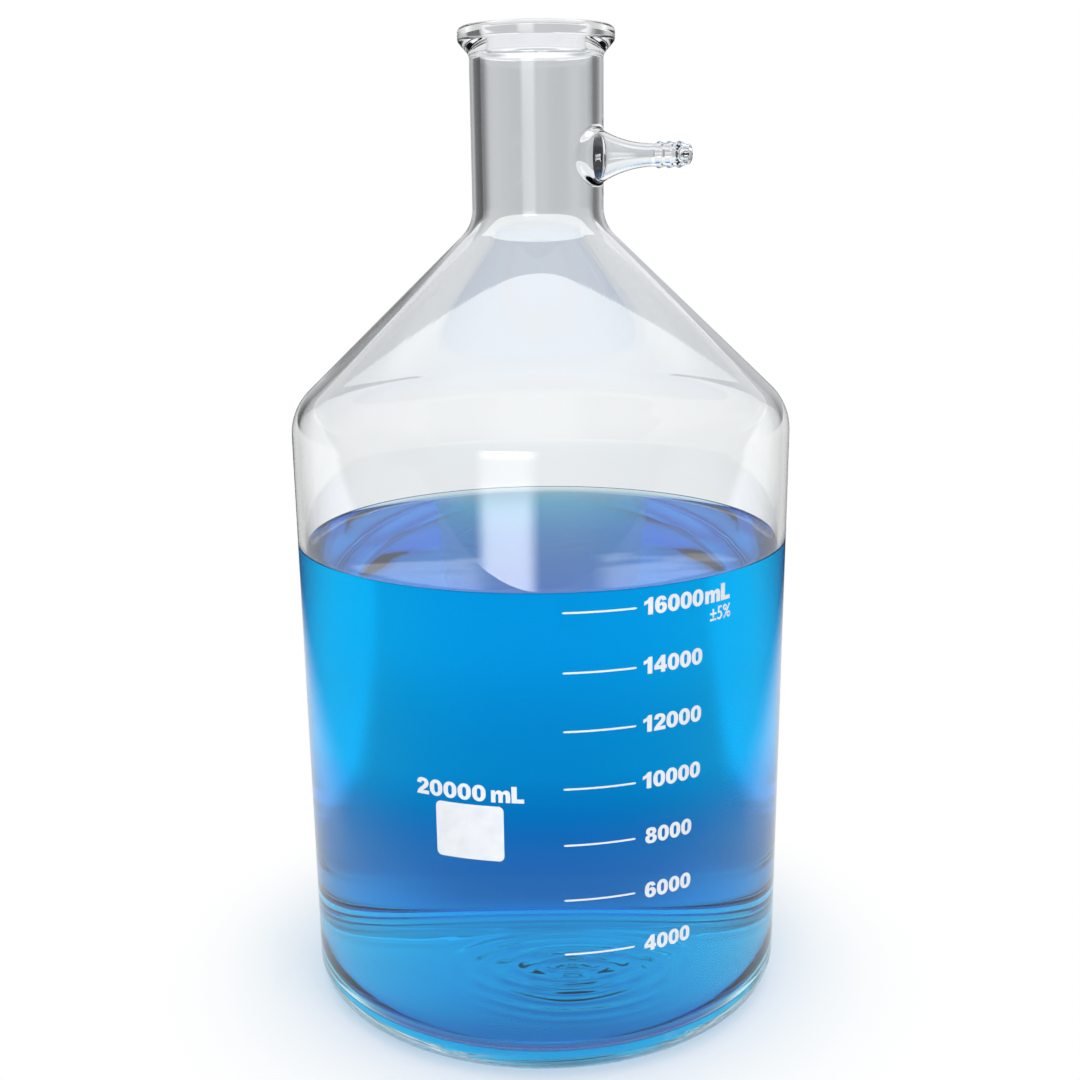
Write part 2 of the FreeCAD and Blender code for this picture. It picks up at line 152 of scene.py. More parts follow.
# rings in the base, in metres: their middle, and where they fade outwards and upwards
RING_CENTRE, RING_SCALE, RING_DEPTH = (0.012, -0.004, 0.0), 24, 0.0007
RING_FADE, RING_FADE_UP = (0.03, 0.075), (0.025, 0.04)

# light levels, where 1 is white
ROOM_LEVEL, ROOM_CORNERS, SKY_GLOW, AMBIENT = 0.64, 0.12, 0.8, 0.30
MIRRORED_ROOM, PATCH_HEIGHT = 0.20, 0.258
# the pale screen behind the flask, by height in the sky
SCREEN_LEVELS = (
    (0.0, 0.64), (0.27, 0.62), (0.29, 1.05), (0.32, 1.05), (0.36, 0.84), (0.44, 0.93), (0.52, 0.86),
    (0.62, 0.86), (0.80, 0.60),
)
# painted levels of the paper: as a mirror image, and behind glass where no painted shadow lies
FAR_LEVEL, PAINTED_GLOW = 0.84, 1.17
# painted light and shade on the paper behind glass, by metres: behind the axis under the flask, and
# away from it elsewhere; deep blue under the flask's front, a pale cyan pool of light under its middle
# and a painted shadow round it
PAPER_START, PAPER_REACH = 0.15, 1.15
PAINTED_LEVELS_BEHIND_GLASS = (
    (-0.15, (0.04, 0.10, 0.32)), (-0.10, (0.05, 0.12, 0.34)), (-0.05, (0.20, 0.34, 0.48)),
    (0.0, (0.50, 0.80, 0.84)), (0.12, (0.60, 0.94, 1.0)), (0.15, (0.50, 0.56, 0.74)),
    (0.19, (0.45, 0.52, 0.74)), (0.26, (0.52, 0.63, 0.84)), (0.376, (1.0, 1.04, 1.05)),
    (0.577, (0.97, 0.97, 0.97)), (0.85, (1.0, 1.0, 1.0)), (1.0, (0.98, 0.98, 0.98)),
)


# outlines that are turned into glass and water

def rounded_path(corners, degrees_per_step=4.0, hold=2.0):
    """Points along straight runs with rounded corners, given as (x, y, radius)."""
    points = [np.array(corners[0][:2], float)]
    for before, here, after in zip(corners, corners[1:], corners[2:]):
        corner = np.array(here[:2], float)
        back, on = np.array(before[:2]) - corner, np.array(after[:2]) - corner
        back_length, on_length = np.linalg.norm(back), np.linalg.norm(on)
        back, on = back / back_length, on / on_length
        opening = math.acos(float(np.clip(back @ on, -1, 1)))
        reach = here[2] / math.tan(opening / 2)
        centre = corner + (back + on) / np.linalg.norm(back + on) * here[2] / math.sin(opening / 2)
        first, last = corner + back * reach, corner + on * reach
        start = math.atan2(*(first - centre)[::-1])
        turn = (math.atan2(*(last - centre)[::-1]) - start + math.pi) % (2 * math.pi) - math.pi
        steps = max(3, round(abs(math.degrees(turn)) / degrees_per_step))
        if hold and back_length - reach > 3 * hold:
            points.append(first + back * hold)
        for step in range(steps + 1):
            angle = start + turn * step / steps
            points.append(centre + here[2] * np.array((math.cos(angle), math.sin(angle))))
        if hold and on_length - reach > 3 * hold:
            points.append(last + on * hold)
    points.append(np.array(corners[-1][:2], float))
    return points


def dome_height(radius, thickness):
    """Height of the base's dome, or of the floor that lies one thickness above it."""
    return DOME_CENTRE + math.sqrt((DOME_RADIUS + thickness) ** 2 - radius ** 2)


def floor_outline(bore, thickness, steps=22):
    """The inside from the wall's foot, round the floor's corner and in to the axis."""
    corner = FLOOR_ROUNDING + (bore - BODY_BORE)
    centre = BODY_BORE - FLOOR_ROUNDING
    rise = dome_height(centre, thickness + corner)
    low = -math.pi / 2 - math.asin(centre / (DOME_RADIUS + thickness + corner))
    points = [np.array((centre + corner * math.cos(low * k / steps),
                        rise + corner * math.sin(low * k / steps))) for k in range(steps + 1)]
    edge = points[-1][0]
    for k in range(1, 11):
        radius = edge * (1 - k / 10)
        points.append(np.array((radius, dome_height(radius, thickness))))
    return points


def outer_outline():
    """From the middle of the base, over the heel and up to the edge of the mouth."""
    points = [np.array((r, dome_height(r, 0))) for r in (0, 20, 40, 60, 80, 95, 106, 113)]
    points += rounded_path((
        (116, dome_height(116, 0)), (REST_RADIUS, 0, REST_ROUNDING),
        (BODY_RADIUS, 0, HEEL_ROUNDING), (BODY_RADIUS, SHOULDER, SHOULDER_ROUNDING),
        (NECK_RADIUS, NECK_ROOT, NECK_ROUNDING), (NECK_RADIUS, WINDOW_FOOT),
    ), 3.6)[:-1]
    points += [np.array((NECK_RADIUS, z)) for z in
               np.linspace(WINDOW_FOOT, WINDOW_TOP, WINDOW_ROWS + 1)]
    points += rounded_path((
        (NECK_RADIUS, WINDOW_TOP), (NECK_RADIUS, RIM_FOOT, RIM_ROOT_ROUNDING),
        (RIM_RADIUS, BAND_FOOT, RIM_ROUNDING), (RIM_RADIUS, HEIGHT, RIM_ROUNDING),
        (NECK_BORE, HEIGHT, MOUTH_ROUNDING), (NECK_BORE, WINDOW_TOP),
    ), 6, 1.2)[1:-1]
    return points


def inner_outline():
    """From the top of the neck's window down the inside to the middle of the floor."""
    points = [np.array((NECK_BORE, z)) for z in
              np.linspace(WINDOW_TOP, WINDOW_FOOT, WINDOW_ROWS + 1)]
    foot = floor_outline(BODY_BORE, FLOOR_CROWN - HOLLOW)
    points += rounded_path((
        (NECK_BORE, WINDOW_FOOT), (NECK_BORE, INNER_NECK_ROOT, INNER_NECK_ROUNDING),
        (BODY_BORE, INNER_SHOULDER, INNER_SHOULDER_ROUNDING),
        (BODY_BORE, LIQUID_LEVEL + MENISCUS_RISE),
    ), 3.6)[1:]
    points.append(np.array((BODY_BORE, foot[0][1] + 2)))
    return points + foot


# the glass and the water

def smooth_max(a, b, reach):
    """The larger of two heights, blended where they differ by less than the reach."""
    return np.maximum(a, b) + np.maximum(reach - np.abs(a - b), 0) ** 2 / (4 * reach)


def branch_rings(edge, neck_radius, radii, surface, settle, blend):
    """Rings round the arm's axis, from the window's edge to where the branch is round.

    edge holds the window's corners as (across, up); the rings start square, as it is, and
    turn into circles by the radius settle.
    """
    angles = np.arctan2(edge[:, 1], edge[:, 0])
    extra = np.hypot(edge[:, 0], edge[:, 1]) - radii[0]
    rings = []
    for radius in radii[1:]:
        share = max(0.0, (radius - settle) / (radii[0] - settle)) ** 2
        reach = radius + extra * share
        across, up = reach * np.cos(angles), reach * np.sin(angles)
        neck = np.sqrt(np.maximum(neck_radius ** 2 - across ** 2, 1))
        rings.append(np.stack([smooth_max(neck, surface(reach), blend), across, up], 1))
    return rings


def flare_surface(reach):
    """Where the outside of the flare stands along the arm, by distance from its axis."""
    return FLARE_END - np.sqrt(np.maximum(FLARE_RADIUS ** 2 - (FLARE_CENTRE - reach) ** 2, 0))


def bore_surface(reach):
    """The same for its bore, which runs into the neck as a steep hole."""
    radius = FLARE_RADIUS + TUBE_RADIUS - TUBE_BORE
    flare = FLARE_END - np.sqrt(np.maximum(radius ** 2 - (FLARE_CENTRE - reach) ** 2, 0))
    mouth = FLARE_END - math.sqrt(radius ** 2 - (FLARE_CENTRE - ROOT_BORE) ** 2)
    return np.where(reach > ROOT_BORE, mouth - 6 * (reach - ROOT_BORE), flare)


def arc_radii(centre, radius, start, steps):
    """Distances from the axis at equal steps along the flare's arc, inwards from start."""
    first = math.acos((centre - start) / radius)
    return [centre - radius * math.cos(first * (1 - k / steps)) for k in range(steps + 1)]


def arm_rings(outer_edge, inner_edge):
    """All rings of the hose connection, from outside the neck, over the tip, to its inside."""
    radii = arc_radii(FLARE_CENTRE, FLARE_RADIUS, 22.9, 30)
    rings = branch_rings(outer_edge, NECK_RADIUS, radii, flare_surface, 14, 3.5)
    angles = np.arctan2(outer_edge[:, 1], outer_edge[:, 0])
    inner_angles = np.arctan2(inner_edge[:, 1], inner_edge[:, 0])
    tube = rounded_path(ARM_OUTLINE, 12, 0)[1:] + [np.array((FLARE_END + 10, TUBE_BORE))]
    for along, radius in tube:
        rings.append(np.stack([np.full_like(angles, along), radius * np.cos(angles),
                               radius * np.sin(angles)], 1))
    inner_radii = [19.2, 18, 16.8, 15.8, 15.1, 14.6, 14.2, 13.9, 13.6, 13.3]
    inner_radii += arc_radii(FLARE_CENTRE, FLARE_RADIUS + TUBE_RADIUS - TUBE_BORE, ROOT_BORE, 20)
    bore = branch_rings(inner_edge, NECK_BORE, inner_radii, bore_surface, 13, 3.0)[::-1]
    for number, ring in enumerate(bore):
        # the tube's columns turn slowly into those of the inner window
        share = min(1.0, number / 18)
        gap = (inner_angles - angles + math.pi) % (2 * math.pi) - math.pi
        mixed = angles + gap * share
        if share < 1:
            reach = np.hypot(ring[:, 1], ring[:, 2])
            ring = np.stack([ring[:, 0], reach * np.cos(mixed), reach * np.sin(mixed)], 1)
        rings.append(ring)
    return rings


def window_loop(first_row, last_row):
    """Rows and columns round a window's edge: bottom, right, top, left."""
    side = WINDOW_COLUMNS
    rows = list(range(first_row, last_row, 1 if last_row > first_row else -1))
    back_rows = list(range(last_row, first_row, -1 if last_row > first_row else 1))
    return ([(first_row, c) for c in range(-side, side)] + [(r, side) for r in rows]
            + [(last_row, c) for c in range(side, -side, -1)] + [(r, -side) for r in back_rows])


def flask_mesh():
    """The bottle as one closed skin, with the hose connection drawn out of its neck."""
    outer, inner = outer_outline(), inner_outline()
    outline = outer + inner
    step = 2 * math.pi / COLUMNS
    turns = -ARM_TURN + step * np.arange(COLUMNS)
    points = [(0.0, 0.0, outline[0][1])]
    for radius, height in outline[1:-1]:
        points += [(radius * math.cos(a), radius * math.sin(a), height) for a in turns]
    points.append((0.0, 0.0, outline[-1][1]))
    row_of = {}
    for number, (radius, height) in enumerate(outline):
        for name, level in (("foot", WINDOW_FOOT), ("top", WINDOW_TOP)):
            if abs(height - level) < 1e-6 and radius < RIM_RADIUS:
                row_of["outer " + name if number < len(outer) else "inner " + name] = number

    def vertex(row, column):
        return 1 + (row - 1) * COLUMNS + column % COLUMNS

    windows = [sorted((row_of[side + " foot"], row_of[side + " top"]))
               for side in ("outer", "inner")]
    last = len(outline) - 2
    faces = [(vertex(1, c + 1), vertex(1, c), 0) for c in range(COLUMNS)]
    for row in range(1, last):
        open_row = any(low <= row < high for low, high in windows)
        for c in range(-WINDOW_COLUMNS, COLUMNS - WINDOW_COLUMNS):
            if open_row and c < WINDOW_COLUMNS:
                continue
            faces.append((vertex(row, c), vertex(row, c + 1),
                          vertex(row + 1, c + 1), vertex(row + 1, c)))
    faces += [(vertex(last, c), vertex(last, c + 1), len(points) - 1) for c in range(COLUMNS)]

    loops = [window_loop(row_of[side + " foot"], row_of[side + " top"])
             for side in ("outer", "inner")]
    edges = [np.array([(outline[r][0] * math.sin(c * step), outline[r][1] - ARM_HEIGHT)
                       for r, c in loop]) for loop in loops]
    along = np.array((math.cos(ARM_TURN), -math.sin(ARM_TURN), 0))
    across = np.array((math.sin(ARM_TURN), math.cos(ARM_TURN), 0))
    count = len(loops[0])
    before = [vertex(r, c) for r, c in loops[0]]
    for ring in arm_rings(*edges):
        here = list(range(len(points), len(points) + count))
        points += [tuple(s * along + h * across + np.array((0, 0, ARM_HEIGHT + v))) for s, h, v in ring]
        faces += ring_faces(before, here)
        before = here
    faces += ring_faces(before, [vertex(r, c) for r, c in loops[1]])
    return make_mesh("flask_glass", np.array(points) * MM, faces)


def wet_the_inside(mesh):
    """The second material goes on the inner faces that stand in the water."""
    contact = (LIQUID_LEVEL + MENISCUS_RISE) * MM
    for face in mesh.polygons:
        x, y, z = face.center
        inward = -(face.normal.x * x + face.normal.y * y) > 0.1 * math.hypot(x, y)
        inside = math.hypot(x, y) < (BODY_BORE + 0.2) * MM
        if inside and z < contact and face.normal.z > -0.5 and (inward or face.normal.z > 0.1):
            face.material_index = 1


def ring_faces(outside, inside):
    """Four-sided faces between two rings of the same number of points."""
    count = len(outside)
    return [(outside[j], outside[(j + 1) % count], inside[(j + 1) % count], inside[j])
            for j in range(count)]


def put_in_scene(name, data):
    """A new object of the scene, at the origin."""
    thing = bpy.data.objects.new(name, data)
    bpy.context.scene.collection.objects.link(thing)
    return thing


def make_mesh(name, points, faces):
    """A smooth mesh object at the origin, without the points that no face uses."""
    mesh = bpy.data.meshes.new(name)
    mesh.from_pydata([tuple(p) for p in points], [], faces)
    work = bmesh.new()
    work.from_mesh(mesh)
    bmesh.ops.delete(work, geom=[v for v in work.verts if not v.link_faces], context="VERTS")
    for face in work.faces:
        face.smooth = True
    work.to_mesh(mesh)
    work.free()
    return put_in_scene(name, mesh)


def turned_mesh(name, outline, columns):
    """A closed shape turned about the bottle's axis; the outline runs from axis to axis."""
    points = [(0, 0, outline[0][1])]
    turns = [2 * math.pi * c / columns for c in range(columns)]
    for radius, height in outline[1:-1]:
        points += [(radius * math.cos(a), radius * math.sin(a), height) for a in turns]
    points.append((0, 0, outline[-1][1]))
    rows = len(outline) - 2
    first = [[1 + r * columns + c for c in range(columns)] + [1 + r * columns] for r in range(rows)]
    faces = [(0, first[0][c + 1], first[0][c]) for c in range(columns)]
    for r in range(rows - 1):
        faces += [(first[r][c], first[r][c + 1], first[r + 1][c + 1], first[r + 1][c])
                  for c in range(columns)]
    faces += [(first[-1][c], first[-1][c + 1], len(points) - 1) for c in range(columns)]
    return make_mesh(name, np.array(points) * MM, faces)


def liquid_mesh():
    """The water, pressed a hair into the glass, with its surface drawn up at the wall."""
    floor = floor_outline(BODY_BORE + GLASS_OVERLAP, FLOOR_CROWN - HOLLOW - GLASS_OVERLAP)[::-1]
    contact = LIQUID_LEVEL + MENISCUS_RISE
    rim = BODY_BORE + GLASS_OVERLAP
    points = floor + [np.array((rim, floor[-1][1] + 2)), np.array((rim, contact - 1)),
                      np.array((rim, contact))]
    for distance in list(np.linspace(0, 12, 18)) + [16, 22, 32, 60, 95, 120]:
        rise = MENISCUS_RISE * math.exp(-distance / MENISCUS_REACH)
        points.append(np.array((BODY_BORE - distance, LIQUID_LEVEL + rise)))
    points.append(np.array((0, LIQUID_LEVEL)))
    return turned_mesh("blue_water", points, COLUMNS)


# the print

def line_tree(material):
    """Geometry nodes that repeat one curved stroke of enamel up the glass."""
    tree = bpy.data.node_groups.new("graduation_strokes", "GeometryNodeTree")
    inputs = (
        ("Count", "NodeSocketInt", 7), ("Lowest", "NodeSocketFloat", 0.079),
        ("Spacing", "NodeSocketFloat", 0.0322), ("Radius", "NodeSocketFloat", 0.145),
        ("Thickness", "NodeSocketFloat", 0.0002), ("Start", "NodeSocketFloat", 0.068),
        ("Sweep", "NodeSocketFloat", 0.272), ("Width", "NodeSocketFloat", 0.001),
        ("Unevenness", "NodeSocketFloat", 0.05), ("Seed", "NodeSocketFloat", 3.0),
    )
    for name, kind, default in inputs:
        tree.interface.new_socket(name=name, in_out="INPUT", socket_type=kind).default_value = default
    tree.interface.new_socket(name="Geometry", in_out="OUTPUT", socket_type="NodeSocketGeometry")
    nodes, links = tree.nodes, tree.links
    source = nodes.new("NodeGroupInput")
    given = source.outputs

    def node(kind, **values):
        made = nodes.new(kind)
        for name, setting in values.items():
            setattr(made, name, setting)
        return made

    def calc(operation, *values):
        return calculate(nodes, links, operation, *values)

    bar = node("GeometryNodeMeshCube")
    bar.inputs["Size"].default_value = (1, 1, 1)
    bar.inputs["Vertices X"].default_value = 41
    bar.inputs["Vertices Y"].default_value = 3
    bar.inputs["Vertices Z"].default_value = 2
    where = node("GeometryNodeInputPosition")
    split = node("ShaderNodeSeparateXYZ")
    links.new(where.outputs[0], split.inputs[0])
    x, y, z = split.outputs
    noise = node("ShaderNodeTexNoise", noise_dimensions="4D")
    noise.inputs["Scale"].default_value = 9
    links.new(where.outputs[0], noise.inputs["Vector"])
    links.new(given["Seed"], noise.inputs["W"])
    wave = calc("SUBTRACT", noise.outputs[0], 0.5)
    # the ends of a stroke are rounded, as the screen leaves them
    end = calc("SUBTRACT", 0.5, calc("ABSOLUTE", x))
    taper = calc("SQRT", calc("MINIMUM", calc("ADD", calc("MULTIPLY", end, 55), 0.25), 1.0))
    height = calc("MULTIPLY", calc("MULTIPLY", y, given["Width"]),
                  calc("MULTIPLY", taper, calc("MULTIPLY_ADD", wave, given["Unevenness"], 1.0)))
    angle = calc("MULTIPLY_ADD", calc("ADD", x, 0.5), given["Sweep"], given["Start"])
    radius = calc("MULTIPLY_ADD", calc("ADD", z, 0.5), given["Thickness"], given["Radius"])
    place = node("ShaderNodeCombineXYZ")
    links.new(calc("MULTIPLY", radius, calc("SINE", angle)), place.inputs[0])
    links.new(calc("MULTIPLY", radius, calc("MULTIPLY", calc("COSINE", angle), -1.0)), place.inputs[1])
    links.new(height, place.inputs[2])
    bend = node("GeometryNodeSetPosition")
    links.new(bar.outputs["Mesh"], bend.inputs["Geometry"])
    links.new(place.outputs[0], bend.inputs["Position"])
    rows = node("GeometryNodeMeshLine", mode="OFFSET")
    rise, lift = node("ShaderNodeCombineXYZ"), node("ShaderNodeCombineXYZ")
    links.new(given["Lowest"], rise.inputs[2])
    links.new(given["Spacing"], lift.inputs[2])
    links.new(given["Count"], rows.inputs["Count"])
    links.new(rise.outputs[0], rows.inputs["Start Location"])
    links.new(lift.outputs[0], rows.inputs["Offset"])
    repeat = node("GeometryNodeInstanceOnPoints")
    links.new(rows.outputs[0], repeat.inputs["Points"])
    links.new(bend.outputs[0], repeat.inputs["Instance"])
    solid = node("GeometryNodeRealizeInstances")
    links.new(repeat.outputs[0], solid.inputs[0])
    finish = node("GeometryNodeSetMaterial")
    finish.inputs["Material"].default_value = material
    links.new(solid.outputs[0], finish.inputs[0])
    out = node("NodeGroupOutput")
    links.new(finish.outputs[0], out.inputs[0])
    return tree


def bake_nodes(name, tree, values):
    """The mesh that a tree makes with these inputs, as a plain object."""
    carrier = put_in_scene(name + "_carrier", bpy.data.meshes.new(name + "_carrier"))
    modifier = carrier.modifiers.new("make", "NODES")
    modifier.node_group = tree
    for item in tree.interface.items_tree:
        if item.in_out == "INPUT" and item.name in values:
            modifier[item.identifier] = values[item.name]
    shown = carrier.evaluated_get(bpy.context.evaluated_depsgraph_get())
    mesh = bpy.data.meshes.new_from_object(shown)
    mesh.name = name
    piece = put_in_scene(name, mesh)
    carrier.modifiers.clear()
    bpy.data.objects.remove(carrier)
    return piece


def plain_words(words):
    """A flat text curve in the built-in face."""
    curve = bpy.data.curves.new("words", "FONT")
    curve.body = words
    curve.size = 1.0
    curve.offset = 0.006
    return curve


def heavy_words(words):
    """A flat curve of broad block figures, drawn from their outlines."""
    curve = bpy.data.curves.new("words", "CURVE")
    curve.dimensions = "2D"
    curve.fill_mode = "BOTH"
    curve.resolution_u = 5
    left = 0.0
    for letter in words:
        if letter == " ":
            left += WORD_GAP
            continue
        width, outlines = FIGURES[letter]
        for outline in outlines:
            spline = curve.splines.new("BEZIER")
            spline.bezier_points.add(len(outline) - 1)
            spline.use_cyclic_u = True
            for point, (x, y, *corner) in zip(spline.bezier_points, outline):
                point.co = (left + x, y, 0)
                point.handle_left_type = point.handle_right_type = "VECTOR" if corner else "AUTO"
        left += width + (GAP_AFTER_ONE if letter == "1" else LETTER_GAP)
    return curve


def lay_on_glass(name, curve, place, line, material):
    """Enamel letters on the glass, at one of the places above; line is a height in mm."""
    start, foot, height, width = place
    carrier = put_in_scene(name + "_words", curve)
    bpy.context.view_layer.update()
    shown = carrier.evaluated_get(bpy.context.evaluated_depsgraph_get())
    mesh = bpy.data.meshes.new_from_object(shown)
    bpy.data.objects.remove(carrier)
    work = bmesh.new()
    work.from_mesh(mesh)
    bmesh.ops.remove_doubles(work, verts=work.verts, dist=1e-5)
    low = min(v.co.x for v in work.verts), min(v.co.y for v in work.verts)
    high = max(v.co.x for v in work.verts), max(v.co.y for v in work.verts)
    for vertex in work.verts:
        vertex.co.x = (vertex.co.x - low[0]) / (high[0] - low[0]) * width
        vertex.co.y = (vertex.co.y - low[1]) / (high[1] - low[1]) * height
        vertex.co.z = 0
    # cut into narrow upright strips, so that the letters follow the curve of the glass
    for strip in range(1, int(width / STRIP_WIDTH) + 1):
        bmesh.ops.bisect_plane(work, geom=list(work.verts) + list(work.edges) + list(work.faces),
                               plane_co=(strip * STRIP_WIDTH, 0, 0), plane_no=(1, 0, 0))
    bmesh.ops.triangulate(work, faces=list(work.faces))
    raised = bmesh.ops.extrude_face_region(work, geom=list(work.faces))
    for item in raised["geom"]:
        if isinstance(item, bmesh.types.BMVert):
            item.co.z = PRINT_THICKNESS
    bmesh.ops.recalc_face_normals(work, faces=list(work.faces))
    for vertex in work.verts:
        angle = math.radians(start) + vertex.co.x / PRINT_RADIUS
        radius = PRINT_RADIUS + vertex.co.z + LETTER_LIFT
        vertex.co = Vector((radius * math.sin(angle), -radius * math.cos(angle),
                            line + foot + vertex.co.y)) * MM
    work.to_mesh(mesh)
    work.free()
    mesh.name = name
    mesh.materials.clear()
    mesh.materials.append(material)
    return put_in_scene(name, mesh)


def print_on_glass(material):
    """Graduation lines, their volumes and the flask's own volume."""
    low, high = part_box("graduation_lines")
    first, last = low.z + LINE_WIDTH * MM / 2, high.z - LINE_WIDTH * MM / 2
    spacing = (last - first) / 6
    lines = bake_nodes("graduation_strokes", line_tree(material), {
        "Count": 7, "Lowest": first, "Spacing": spacing, "Radius": PRINT_RADIUS * MM,
        "Thickness": PRINT_THICKNESS * MM, "Start": math.radians(LINE_START),
        "Sweep": math.radians(LINE_SWEEP), "Width": LINE_WIDTH * MM,
    })
    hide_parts("graduation_lines")
    pieces = [lines]
    for number in range(7):
        volume = 4000 + 2000 * number
        height = (first + spacing * number) / MM
        place = FIVE_FIGURES if volume >= 10000 else FOUR_FIGURES
        pieces.append(lay_on_glass(f"volume_{volume}", heavy_words(str(volume)), place, height,
                                   material))
        if volume == 16000:
            pieces.append(lay_on_glass("volume_unit", heavy_words("mL"), UNIT, height, material))
            pieces.append(lay_on_glass("tolerance", plain_words("±5%"), TOLERANCE, height, material))
    pieces.append(lay_on_glass("capacity", heavy_words("20000 mL"), CAPACITY, 0.0, material))
    return pieces


# materials

def new_material(name):
    """A material with its nodes, its links and its main shader."""
    material = bpy.data.materials.new(name)
    material.use_nodes = True
    nodes = material.node_tree.nodes
    return material, nodes, material.node_tree.links, nodes["Principled BSDF"]


def calculate(nodes, links, operation, *values):
    """A math node; each value is a number or another node's output."""
    node = nodes.new("ShaderNodeMath")
    node.operation = operation
    for socket, value in zip(node.inputs, values):
        if isinstance(value, (int, float)):
            socket.default_value = value
        else:
            links.new(value, socket)
    return node.outputs[0]


def remap(nodes, links, value, start, end, low, high):
    """A smooth step from low to high while the value goes from start to end."""
    node = nodes.new("ShaderNodeMapRange")
    node.interpolation_type = "SMOOTHSTEP"
    for name, number in (("From Min", start), ("From Max", end), ("To Min", low), ("To Max", high)):
        node.inputs[name].default_value = number
    links.new(value, node.inputs["Value"])
    return node.outputs[0]


def blend_numbers(nodes, links, share, low, high):
    """low where share is 0 and high where it is 1; both may be outputs."""
    rest = calculate(nodes, links, "SUBTRACT", 1.0, share)
    return calculate(nodes, links, "ADD", calculate(nodes, links, "MULTIPLY", rest, low),
                     calculate(nodes, links, "MULTIPLY", share, high))


def object_noise(nodes, links, scale, stretch=(1, 1, 1), detail=2.0, roughness=0.5):
    """Noise on object coordinates, stretched along the axes."""
    where = nodes.new("ShaderNodeTexCoord")
    mapping = nodes.new("ShaderNodeMapping")
    mapping.inputs["Scale"].default_value = stretch
    noise = nodes.new("ShaderNodeTexNoise")
    noise.inputs["Scale"].default_value = scale
    noise.inputs["Detail"].default_value = detail
    noise.inputs["Roughness"].default_value = roughness
    links.new(where.outputs["Object"], mapping.inputs["Vector"])
    links.new(mapping.outputs[0], noise.inputs["Vector"])
    return noise.outputs[0]


def spread(nodes, links, value, low, high):
    """A noise value brought between two plain numbers."""
    node = nodes.new("ShaderNodeMapRange")
    node.inputs["From Min"].default_value = 0.3
    node.inputs["From Max"].default_value = 0.7
    node.inputs["To Min"].default_value = low
    node.inputs["To Max"].default_value = high
    links.new(value, node.inputs["Value"])
    return node.outputs[0]


def bump(nodes, links, height, strength, distance, under=None):
    """Relief of a depth in metres, over the relief under it."""
    node = nodes.new("ShaderNodeBump")
    node.inputs["Strength"].default_value = strength
    node.inputs["Distance"].default_value = distance
    links.new(height, node.inputs["Height"])
    if under:
        links.new(under, node.inputs["Normal"])
    return node.outputs[0]


def lets_lamps_through(nodes, links, shader, tint):
    """Clear matter doesn't shade what lies behind it from the lamps."""
    path, clear, mix = (nodes.new(kind) for kind in
                        ("ShaderNodeLightPath", "ShaderNodeBsdfTransparent", "ShaderNodeMixShader"))
    clear.inputs["Color"].default_value = (*tint, 1)
    links.new(path.outputs["Is Shadow Ray"], mix.inputs[0])
    links.new(shader.outputs[0], mix.inputs[1])
    links.new(clear.outputs[0], mix.inputs[2])
    links.new(mix.outputs[0], nodes["Material Output"].inputs["Surface"])


def absorb(nodes, links, colour, density):
    """Colour that grows with the way through the matter; density is for a metre."""
    volume = nodes.new("ShaderNodeVolumeAbsorption")
    volume.inputs["Color"].default_value = (*colour, 1)
    volume.inputs["Density"].default_value = density
    links.new(volume.outputs[0], nodes["Material Output"].inputs["Volume"])


def base_rings(nodes, links):
    """Rings left in the hollow of the base by the blower's tool, a little off its middle."""
    where = nodes.new("ShaderNodeTexCoord").outputs["Object"]
    moved = nodes.new("ShaderNodeVectorMath")
    moved.operation = "SUBTRACT"
    moved.inputs[1].default_value = RING_CENTRE
    links.new(where, moved.inputs[0])
    rings = nodes.new("ShaderNodeTexWave")
    rings.wave_type, rings.rings_direction = "RINGS", "Z"
    rings.inputs["Scale"].default_value = RING_SCALE
    rings.inputs["Distortion"].default_value = 1.0
    rings.inputs["Detail"].default_value = 0
    links.new(moved.outputs[0], rings.inputs["Vector"])
    flat = nodes.new("ShaderNodeVectorMath")
    flat.operation = "MULTIPLY"
    flat.inputs[1].default_value = (1, 1, 0)
    links.new(moved.outputs[0], flat.inputs[0])
    length = nodes.new("ShaderNodeVectorMath")
    length.operation = "LENGTH"
    links.new(flat.outputs[0], length.inputs[0])
    split = nodes.new("ShaderNodeSeparateXYZ")
    links.new(where, split.inputs[0])
    near = calculate(nodes, links, "MULTIPLY",
                     remap(nodes, links, length.outputs["Value"], *RING_FADE, 1.0, 0.0),
                     remap(nodes, links, split.outputs[2], *RING_FADE_UP, 1.0, 0.0))
    return calculate(nodes, links, "MULTIPLY", rings.outputs[1], near)


def clear_glass(name, own_shine):
    """Borosilicate glass, blown by hand: a faint green, and slow waves down its length.

    own_shine is the share of its mirroring that shows: water against it takes nearly all.
    """
    material, nodes, links, shader = new_material(name)
    shader.inputs["Base Color"].default_value = (0.97, 0.982, 0.982, 1)
    shader.inputs["Transmission Weight"].default_value = 1
    shader.inputs["IOR"].default_value = 1.47
    shader.inputs["Specular Tint"].default_value = (own_shine, own_shine, own_shine, 1)
    shader.inputs["Roughness"].default_value = 0.0
    waves = object_noise(nodes, links, 11, (1, 1, 0.35), 1)
    cords = object_noise(nodes, links, 60, (1, 1, 0.08), 0)
    slow = bump(nodes, links, waves, 0.35, 0.0006)
    fine = bump(nodes, links, cords, 0.12, 0.0001, slow)
    rings = bump(nodes, links, base_rings(nodes, links), 0.6, RING_DEPTH, fine)
    links.new(rings, shader.inputs["Normal"])
    lets_lamps_through(nodes, links, shader, (0.95, 0.97, 0.96))
    return material


